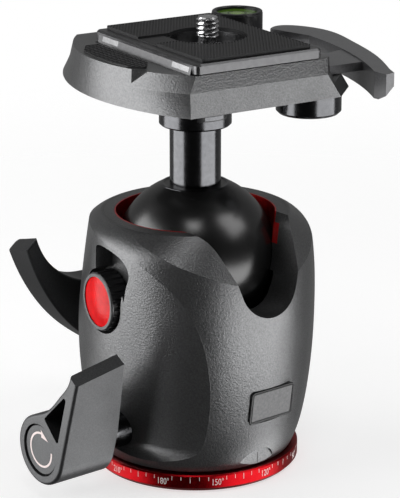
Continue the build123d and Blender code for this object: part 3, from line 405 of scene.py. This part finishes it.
def split(made, at, facing, drop_outer=False):
    """Cut a bmesh along a plane, and drop what stands in front of it where asked."""
    bmesh.ops.bisect_plane(
        made, geom=made.verts[:] + made.edges[:] + made.faces[:], dist=hair,
        plane_co=at, plane_no=facing, clear_outer=drop_outer,
    )


def close_ends(made):
    """Close every open edge loop with a face."""
    open_edges = [edge for edge in made.edges if edge.is_boundary]
    if open_edges:
        bmesh.ops.holes_fill(made, edges=open_edges, sides=0)


def trim(made, at, facing):
    """Drop what stands in front of a plane and close the cut."""
    split(made, at, facing, drop_outer=True)
    close_ends(made)


def thicken(made, faces, height):
    """Give flat faces a thickness upwards, and keep their undersides."""
    grown = bmesh.ops.extrude_face_region(made, geom=faces, use_keep_orig=True)["geom"]
    lifted = [part for part in grown if isinstance(part, bmesh.types.BMVert)]
    bmesh.ops.translate(made, vec=(0, 0, height), verts=lifted)


def frame_of(origin, right, facing):
    """A matrix whose X runs right and whose Z faces out."""
    z = Vector(facing).normalized()
    x = Vector(right).normalized()
    turn = Matrix((x, z.cross(x), z)).transposed().to_4x4()
    return Matrix.Translation(origin) @ turn


def add_block(made, size, place):
    """A small block; size is in metres and place a matrix."""
    bmesh.ops.create_cube(made, size=1.0, matrix=place @ Matrix.Diagonal((*size, 1.0)))


def band(inner, outer, low, high):
    """The section of a flat ring, in millimetres."""
    return (inner, low), (outer, low), (outer, high), (inner, high)


def add_arc(made, outline, segments, start=0.0, sweep=2 * pi):
    """An outline of (radius, height) points in millimetres, spun about the upright axis."""
    verts = [made.verts.new((r * MM * cos(start), r * MM * sin(start), z * MM)) for r, z in outline]
    face = made.faces.new(verts)
    section = verts + face.edges[:]
    full = sweep == 2 * pi
    if full:
        bmesh.ops.delete(made, geom=[face], context="FACES_ONLY")
    else:
        section.append(face)
    bmesh.ops.spin(
        made, geom=section, cent=(0, 0, 0), axis=(0, 0, 1), dvec=(0, 0, 0),
        angle=sweep, steps=segments, use_merge=full, use_duplicate=False,
    )
    bmesh.ops.remove_doubles(made, verts=made.verts, dist=hair)


def add_figures(made, words, height, bend):
    """Numbers as a mesh; bend takes a flat point to its place."""
    curve = bpy.data.curves.new("figures", "FONT")
    curve.body = words
    curve.size = height / figure_share
    curve.align_x = "CENTER"
    curve.align_y = "CENTER"
    curve.extrude = figure_depth
    curve.resolution_u = 3
    holder = bpy.data.objects.new("figures", curve)
    bpy.context.scene.collection.objects.link(holder)
    bpy.context.view_layer.update()
    mesh = bpy.data.meshes.new_from_object(holder)
    before = len(made.verts)
    made.from_mesh(mesh)
    made.verts.ensure_lookup_table()
    for vert in made.verts[before:]:
        vert.co = bend(vert.co)
    bpy.data.objects.remove(holder)
    bpy.data.curves.remove(curve)
    bpy.data.meshes.remove(mesh)


def groove_top(made, along, pitch, width, depth):
    """Cut parallel grooves into the top of a pad of the head; along is their direction on it."""
    way = head_turn.to_3x3() @ Vector((*along, 0)).normalized()
    across = Vector((-way.y, way.x, 0)).normalized()
    top = max(vert.co.z for vert in made.verts)
    reach = [across.dot(vert.co) for vert in made.verts]
    start = min(reach)
    for number in range(int((max(reach) - start) / pitch) + 1):
        for side in (0.0, width):
            split(made, across * (start + number * pitch + side), across)
    sunk = [
        face for face in made.faces
        if face.normal.z > pad_top_rise and face.calc_center_median().z > top - pad_top_slack
        and (across.dot(face.calc_center_median()) - start) % pitch < width
    ]
    bmesh.ops.inset_region(made, faces=sunk, thickness=groove_wall, depth=-depth, use_even_offset=True)


def threaded_rod(pitch):
    """The camera screw's V thread on the upright axis, flat at its ends and chamfered at its tip."""
    made = bmesh.new()
    turns = int((thread_top - thread_bottom) / pitch) + 3
    line = []
    for turn in range(turns + 1):
        for share, r in zip((0.0, *thread_crest), (thread_minor, thread_major, thread_major)):
            line.append(made.verts.new((r, 0, thread_bottom - pitch * (thread_run_in - turn - share))))
    edges = [made.edges.new(pair) for pair in zip(line, line[1:])]
    bmesh.ops.spin(
        made, geom=line + edges, cent=(0, 0, 0), axis=(0, 0, 1), dvec=(0, 0, pitch / thread_steps),
        angle=2 * pi, steps=thread_steps, use_merge=False, use_duplicate=False,
    )
    bmesh.ops.remove_doubles(made, verts=made.verts, dist=2 * weld)
    chamfer_foot = thread_top - thread_chamfer
    split(made, (0, 0, chamfer_foot), (0, 0, 1))
    trim(made, (0, 0, thread_top), (0, 0, 1))
    trim(made, (0, 0, thread_bottom), (0, 0, -1))
    for vert in made.verts:
        limit = thread_major - max(0.0, vert.co.z - chamfer_foot)
        r = sqrt(vert.co.x ** 2 + vert.co.y ** 2)
        if r > limit:
            vert.co.x *= limit / r
            vert.co.y *= limit / r
    bmesh.ops.recalc_face_normals(made, faces=made.faces)
    return made


def plate_ring(width, height, corner, rim, thick):
    """A flat rim round a rounded rectangle, lying on the ground."""
    made = bmesh.new()
    stretch = Matrix.Diagonal((width, height, 1, 1))
    bmesh.ops.create_grid(made, x_segments=1, y_segments=1, size=0.5, matrix=stretch)
    bmesh.ops.bevel(
        made, geom=made.verts[:], offset=corner, offset_type="OFFSET", segments=5,
        profile=0.5, affect="VERTICES", material=-1,
    )
    middle = made.faces[:]
    bmesh.ops.inset_region(made, faces=middle, thickness=rim, use_even_offset=True, use_boundary=True)
    bmesh.ops.delete(made, geom=middle, context="FACES")
    thicken(made, made.faces[:], thick)
    return made


# ------------------------------------------------------------------ pieces
class BALLHEAD_OT_finishes(bpy.types.Operator):
    """Give every carried-over piece its finish"""

    bl_idname = "ballhead.finishes"
    bl_label = "Finish the CAD pieces"

    def execute(self, context):
        finishes.update(make_finishes())
        for row in frame["record"]["subparts"]:
            mesh = frame["nodes"][row["node"]].data
            mesh.materials.clear()
            mesh.materials.append(finishes[own_finish.get(row["node"], row["material_slot"])])
        return {"FINISHED"}


class BALLHEAD_OT_scale(bpy.types.Operator):
    """Add the scale ring's engraving and the index line"""

    bl_idname = "ballhead.scale"
    bl_label = "Scale ring engraving"

    def execute(self, context):
        sizes = context.scene.ball_head_sizes
        made = bmesh.new()
        for number in range(round(2 * pi / sizes.tick_step)):
            angle = number * sizes.tick_step
            labels = angle / label_step
            if abs(labels - round(labels)) < label_slack:
                continue
            length = long_tick if abs(labels % 1 - 0.5) < label_slack else short_tick
            add_block(
                made, (2 * mark_stand, sizes.tick_width, length),
                Matrix.Rotation(scale_zero - angle, 4, "Z")
                @ Matrix.Translation((ring_radius, 0, tick_top - length / 2)),
            )
        for number in range(round(2 * pi / label_step)):
            turn = scale_zero - number * label_step

            def bend(flat, turn=turn):
                angle = turn + flat.x * figure_narrowing / ring_radius
                r = ring_radius + flat.z
                return Vector((r * cos(angle), r * sin(angle), figure_middle + flat.y))

            add_figures(made, f"{round(degrees(number * label_step))}\u00b0", sizes.figure_height, bend)
        settle(made, "scale_engraving", "base", "nylon", "engraving")

        made = bmesh.new()
        add_block(made, (index_width, 2 * mark_stand, index_length), Matrix.Translation(index_middle))
        settle(made, "index_line", "housing", "black_plastic")
        return {"FINISHED"}


class BALLHEAD_OT_plate_fittings(bpy.types.Operator):
    """Cut the screw's thread and the pads' ribs, and add the plate's side faces"""

    bl_idname = "ballhead.plate_fittings"
    bl_label = "Plate fittings"

    def execute(self, context):
        made = threaded_rod(context.scene.ball_head_sizes.thread_pitch)
        move(made, head_turn @ screw_place)
        shank = carried("camera_screw")
        trim(shank, (0, 0, thread_bottom + thread_overlap), (0, 0, 1))
        join(made, shank)
        settle(made, "threaded_screw", "screw", "steel", replaced=("camera_screw",), smooth=True)

        made = carried("rubber_pads")
        groove_top(made, along=(1.0, 1.62), pitch=0.85 * MM, width=0.4 * MM, depth=0.2 * MM)
        add_block(made, pad_gap_size, head_turn @ Matrix.Translation(pad_gap_middle))
        settle(made, "ribbed_pads", "plate", "rubber", replaced=("rubber_pads",))

        made = bmesh.new()
        for middle in side_face_middles:
            add_block(made, side_face_size, head_turn @ frame_of(middle, (0, -1, 0), flank_facing))
        bmesh.ops.bevel(
            made, geom=made.edges[:], offset=side_face_rounding, offset_type="OFFSET", segments=2,
            profile=0.5, affect="EDGES", material=-1,
        )
        settle(made, "plate_side_faces", "plate", "bright_metal", "ground_faces")
        return {"FINISHED"}


class BALLHEAD_OT_platform_fittings(bpy.types.Operator):
    """Add the grip studs, the level's rim and its bubble"""

    bl_idname = "ballhead.platform_fittings"
    bl_label = "Platform fittings"

    def execute(self, context):
        made = carried("grip_pad")
        for along in ((1.0, 0.35), (-0.35, 1.0)):
            groove_top(made, along, pitch=1.5 * MM, width=0.55 * MM, depth=0.22 * MM)
        settle(made, "studded_grip", "head", "rubber", replaced=("grip_pad",))

        made = bmesh.new()
        add_arc(made, (
            (6.12, 123.5), (7.45, 123.8), (7.5, 124.05), (7.3, 124.25),
            (6.9, 124.32), (6.45, 124.2), (6.2, 123.9),
        ), segments=64)
        move(made, level_place)
        settle(made, "level_rim", "head", "black_plastic", smooth=True)

        made = bmesh.new()
        add_arc(made, band(inner=2.6, outer=2.85, low=123.38, high=123.44), segments=48)
        move(made, level_place)
        settle(made, "level_circle", "head", "black_plastic")

        made = bmesh.new()
        bmesh.ops.create_uvsphere(
            made, u_segments=32, v_segments=16, radius=bubble_radius,
            matrix=level_place @ bubble_place @ Matrix.Diagonal((1, 1, bubble_flatness, 1)),
        )
        settle(made, "level_bubble", "head", "vial", "bubble", smooth=True)
        return {"FINISHED"}


class BALLHEAD_OT_marks(bpy.types.Operator):
    """Add the arrow of the pan cap, and two dark rings at the name plate's edge that paint the shadow of
    the gap round it
    """

    bl_idname = "ballhead.marks"
    bl_label = "Cap arrow and plate border"

    def execute(self, context):
        low, high = arrow_reach
        made = bmesh.new()
        shaft = band(inner=4.6, outer=5.2, low=low, high=high)
        add_arc(made, shaft, segments=60, start=radians(4), sweep=radians(-276))
        close_ends(made)
        corners = ((4.75, radians(44)), (6.0, radians(89)), (3.75, radians(86)))
        head = made.faces.new([
            made.verts.new(mm(r * cos(turn), r * sin(turn), low)) for r, turn in corners
        ])
        thicken(made, [head], (high - low) * MM)
        move(made, frame_of((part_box("pan_cap")[0][0], 0, cap_middle_height), (0, -1, 0), (-1, 0, 0)))
        settle(made, "cap_arrow", "pan_lock", "nylon", "engraving")

        facing = Vector((0, -cos(name_plate_lean), -sin(name_plate_lean)))
        place = frame_of(name_plate_middle, (1, 0, 0), facing)
        plate = frame["nodes"]["name_plate"].data
        plate_top = max(facing.dot(vert.co) for vert in plate.vertices) - facing.dot(place.translation)
        # both rings are dark and stand at the plate's edge: painted shadow of the gap and the recess wall
        # round the plate
        for name, width, height, corner, rim, thick, sunk, finish in (
            ("name_plate_painted_shadow_ring", 15.0, 9.3, 0.8, 0.42, 0.12, 0.02, "rubber"),
            ("name_plate_painted_gap_shadow", 15.6, 9.9, 1.1, 0.5, 0.5, 0.4, "black_plastic"),
        ):
            made = plate_ring(*mm(width, height, corner, rim, thick))
            move(made, place @ Matrix.Translation((0, 0, plate_top - sunk * MM)))
            settle(made, name, "housing", "black_plastic", finish)
        return {"FINISHED"}


class BALLHEAD_OT_neck(bpy.types.Operator):
    """Add the lip at the stem's foot, a black band on the collar that paints the shade of its slot, and
    the tab in the collar
    """

    bl_idname = "ballhead.neck"
    bl_label = "Stem lip and collar tab"

    def execute(self, context):
        made = bmesh.new()
        add_arc(made, (
            (8.8, 82.7), (9.85, 82.7), (9.8, 82.87), (9.6, 83.0), (9.2, 83.03), (8.9, 82.95),
        ), segments=72)
        settle(made, "ball_lip", "ball_tilter", "dark_chrome", smooth=True)
        for name, section, segments, start, sweep, slot in (
            # the black band lies on the collar's face: painted shade where the slot is
            ("collar_slot_painted_shade", band(10.2, 10.34, 102.9, 104.6), 24, -126, 56, "black_plastic"),
            ("collar_tab", band(10.25, 10.45, 103.2, 104.3), 16, -114, 34, "dark_chrome"),
        ):
            made = bmesh.new()
            add_arc(made, section, segments, radians(start), radians(sweep))
            close_ends(made)
            settle(made, name, "head", slot)
        return {"FINISHED"}


# ------------------------------------------------------------------ stage
camera_turn = radians(-39.02)
camera_distance = 618.18 * MM
camera_height = 256.6 * MM
camera_pitch = radians(17.45)
sensor_width = 36.0
focal_px = 2256.65
frame_px = (400, 498)
centre_px = (195.32, 251.39)

floor_radius = 0.5
floor_fade = (0.3 * floor_radius, 0.98 * floor_radius)  # where the floor starts and ends to fade
floor_grey = 0.5
floor_glow = 0.62

white = (1.0, 1.0, 1.0, 1.0)
front_level = 0.02  # what gloss sees on the camera's side
behind_level = 0.2  # what gloss sees behind the object
ambient_level = 0.10
glow_rise = 0.12  # upward part of the way to the glow
glow_span = (-0.05, 0.45)  # how far along that way a ray looks where the glow starts and where it is full

lamp_target = Vector((0, 0, 0.07))
# name; direction and rise in degrees; distance, width and height in metres; watts
soft_boxes = (
    ("left_box", 148, 4, 0.8, 0.95, 1.0, 12.0),
    ("right_low_box", -66, -20, 0.8, 1.1, 0.36, 5.2),
    ("right_high_box", -50, 43, 0.8, 0.42, 0.42, 1.8),
    ("table_box", -30, -52, 0.8, 0.5, 0.36, 2.0),
    ("front_box", -133, 57, 0.8, 0.2, 0.2, 0.7),
    ("back_box", 50, 62, 0.9, 0.7, 0.7, 1.5),
)


def add_floor():
    """A pale plain floor that keeps the shadow and fades into the white behind it."""
    made = bmesh.new()
    bmesh.ops.create_circle(made, cap_ends=True, segments=96, radius=floor_radius)
    mesh = bpy.data.meshes.new("floor")
    made.to_mesh(mesh)
    made.free()
    floor = bpy.data.objects.new("floor", mesh)
    bpy.context.scene.collection.objects.link(floor)
    material, tree, principled, at = shader("floor")
    fill(principled, {
        "Base Color": (floor_grey, floor_grey, floor_grey, 1.0), "Roughness": 0.9,
        "Emission Color": white, "Emission Strength": floor_glow,
    })
    far = tree.nodes.new("ShaderNodeVectorMath")
    far.operation = "LENGTH"
    tree.links.new(at, far.inputs[0])
    fade = ranged(tree, far.outputs["Value"], levels=(1.0, 0.0), span=floor_fade, easing="SMOOTHSTEP")
    to_camera = tree.nodes.new("ShaderNodeLightPath").outputs["Is Camera Ray"]
    tree.links.new(arithmetic(tree, "MULTIPLY", fade, to_camera), principled.inputs["Alpha"])
    mesh.materials.append(material)


def add_world():
    """White where the camera looks past the object, and a faint glow behind it for the gloss."""
    world = bpy.context.scene.world or bpy.data.worlds.new("world")
    bpy.context.scene.world = world
    world.use_nodes = True
    tree = world.node_tree
    tree.nodes.clear()
    rays = tree.nodes.new("ShaderNodeLightPath").outputs
    seen = arithmetic(tree, "MAXIMUM", rays["Is Camera Ray"], rays["Is Transmission Ray"])
    along = tree.nodes.new("ShaderNodeVectorMath")
    along.operation = "DOT_PRODUCT"
    along.inputs[1].default_value = (-sin(camera_turn), cos(camera_turn), glow_rise)
    tree.links.new(tree.nodes.new("ShaderNodeTexCoord").outputs["Generated"], along.inputs[0])
    glow = ranged(tree, along.outputs["Value"], (front_level, behind_level), glow_span, "SMOOTHSTEP")
    gloss = mixed(tree, rays["Is Glossy Ray"], ambient_level, glow)
    background = tree.nodes.new("ShaderNodeBackground")
    fill(background, {"Color": white})
    tree.links.new(mixed(tree, seen, gloss, 1.0), background.inputs["Strength"])
    output = tree.nodes.new("ShaderNodeOutputWorld")
    tree.links.new(background.outputs["Background"], output.inputs["Surface"])


def add_soft_box(name, turn, rise, distance, width, height, power):
    """A rectangular lamp aimed at the ball; turn is its direction about the upright axis."""
    data = bpy.data.lights.new(name, "AREA")
    data.shape = "RECTANGLE"
    data.size = width
    data.size_y = height
    data.energy = power
    lamp = bpy.data.objects.new(name, data)
    lamp.visible_camera = False
    bpy.context.scene.collection.objects.link(lamp)
    way = Vector((cos(rise) * cos(turn), cos(rise) * sin(turn), sin(rise)))
    lamp.location = lamp_target + distance * way
    lamp.rotation_euler = (lamp.location - lamp_target).to_track_quat("Z", "Y").to_euler()


def add_camera():
    """The camera; its lens and its shift follow from lengths in pixels of the frame."""
    data = bpy.data.cameras.new("camera")
    data.sensor_width = sensor_width
    data.lens = focal_px * data.sensor_width / frame_px[1]
    data.shift_x = (frame_px[0] / 2 - centre_px[0]) / frame_px[1]
    data.shift_y = (centre_px[1] - frame_px[1] / 2) / frame_px[1]
    data.clip_start = 0.01
    camera = bpy.data.objects.new("camera", data)
    bpy.context.scene.collection.objects.link(camera)
    away = Vector((sin(camera_turn), -cos(camera_turn), 0)) * camera_distance
    camera.location = away + Vector((0, 0, camera_height))
    camera.rotation_euler = (pi / 2 - camera_pitch, 0, camera_turn)
    bpy.context.scene.camera = camera


class BALLHEAD_OT_stage(bpy.types.Operator):
    """Add the floor, the soft boxes and the camera"""

    bl_idname = "ballhead.stage"
    bl_label = "Add the stage"

    def execute(self, context):
        add_floor()
        add_world()
        for name, turn, rise, distance, width, height, power in soft_boxes:
            add_soft_box(name, radians(turn), radians(rise), distance, width, height, power)
        add_camera()
        return {"FINISHED"}


# ------------------------------------------------------------------ panel and run
steps = (
    BALLHEAD_OT_finishes, BALLHEAD_OT_scale, BALLHEAD_OT_plate_fittings, BALLHEAD_OT_platform_fittings,
    BALLHEAD_OT_marks, BALLHEAD_OT_neck, BALLHEAD_OT_stage,
)


class BALLHEAD_PT_panel(bpy.types.Panel):
    """Lists the colours, the sizes and the steps that build the ball head"""

    bl_idname = "BALLHEAD_PT_panel"
    bl_label = "Tripod Ball Head"
    bl_space_type = "VIEW_3D"
    bl_region_type = "UI"
    bl_category = "Ball Head"

    def draw(self, context):
        column = self.layout.column()
        scene = context.scene
        for kind, values in (
            (BallHeadColours, scene.ball_head_colours), (BallHeadSizes, scene.ball_head_sizes),
        ):
            for name in kind.__annotations__:
                column.prop(values, name)
        for step in steps:
            column.operator(step.bl_idname)


classes = (BallHeadColours, BallHeadSizes, *steps, BALLHEAD_PT_panel)


def register():
    for made in classes:
        bpy.utils.register_class(made)
    bpy.types.Scene.ball_head_colours = bpy.props.PointerProperty(type=BallHeadColours)
    bpy.types.Scene.ball_head_sizes = bpy.props.PointerProperty(type=BallHeadSizes)


def unregister():
    del bpy.types.Scene.ball_head_sizes
    del bpy.types.Scene.ball_head_colours
    for made in reversed(classes):
        bpy.utils.unregister_class(made)


def main():
    register()
    bpy.context.scene.view_settings.view_transform = "Standard"
    for step in steps:
        group, name = step.bl_idname.split(".")
        getattr(getattr(bpy.ops, group), name)()


if __name__ == "__main__":
    main()
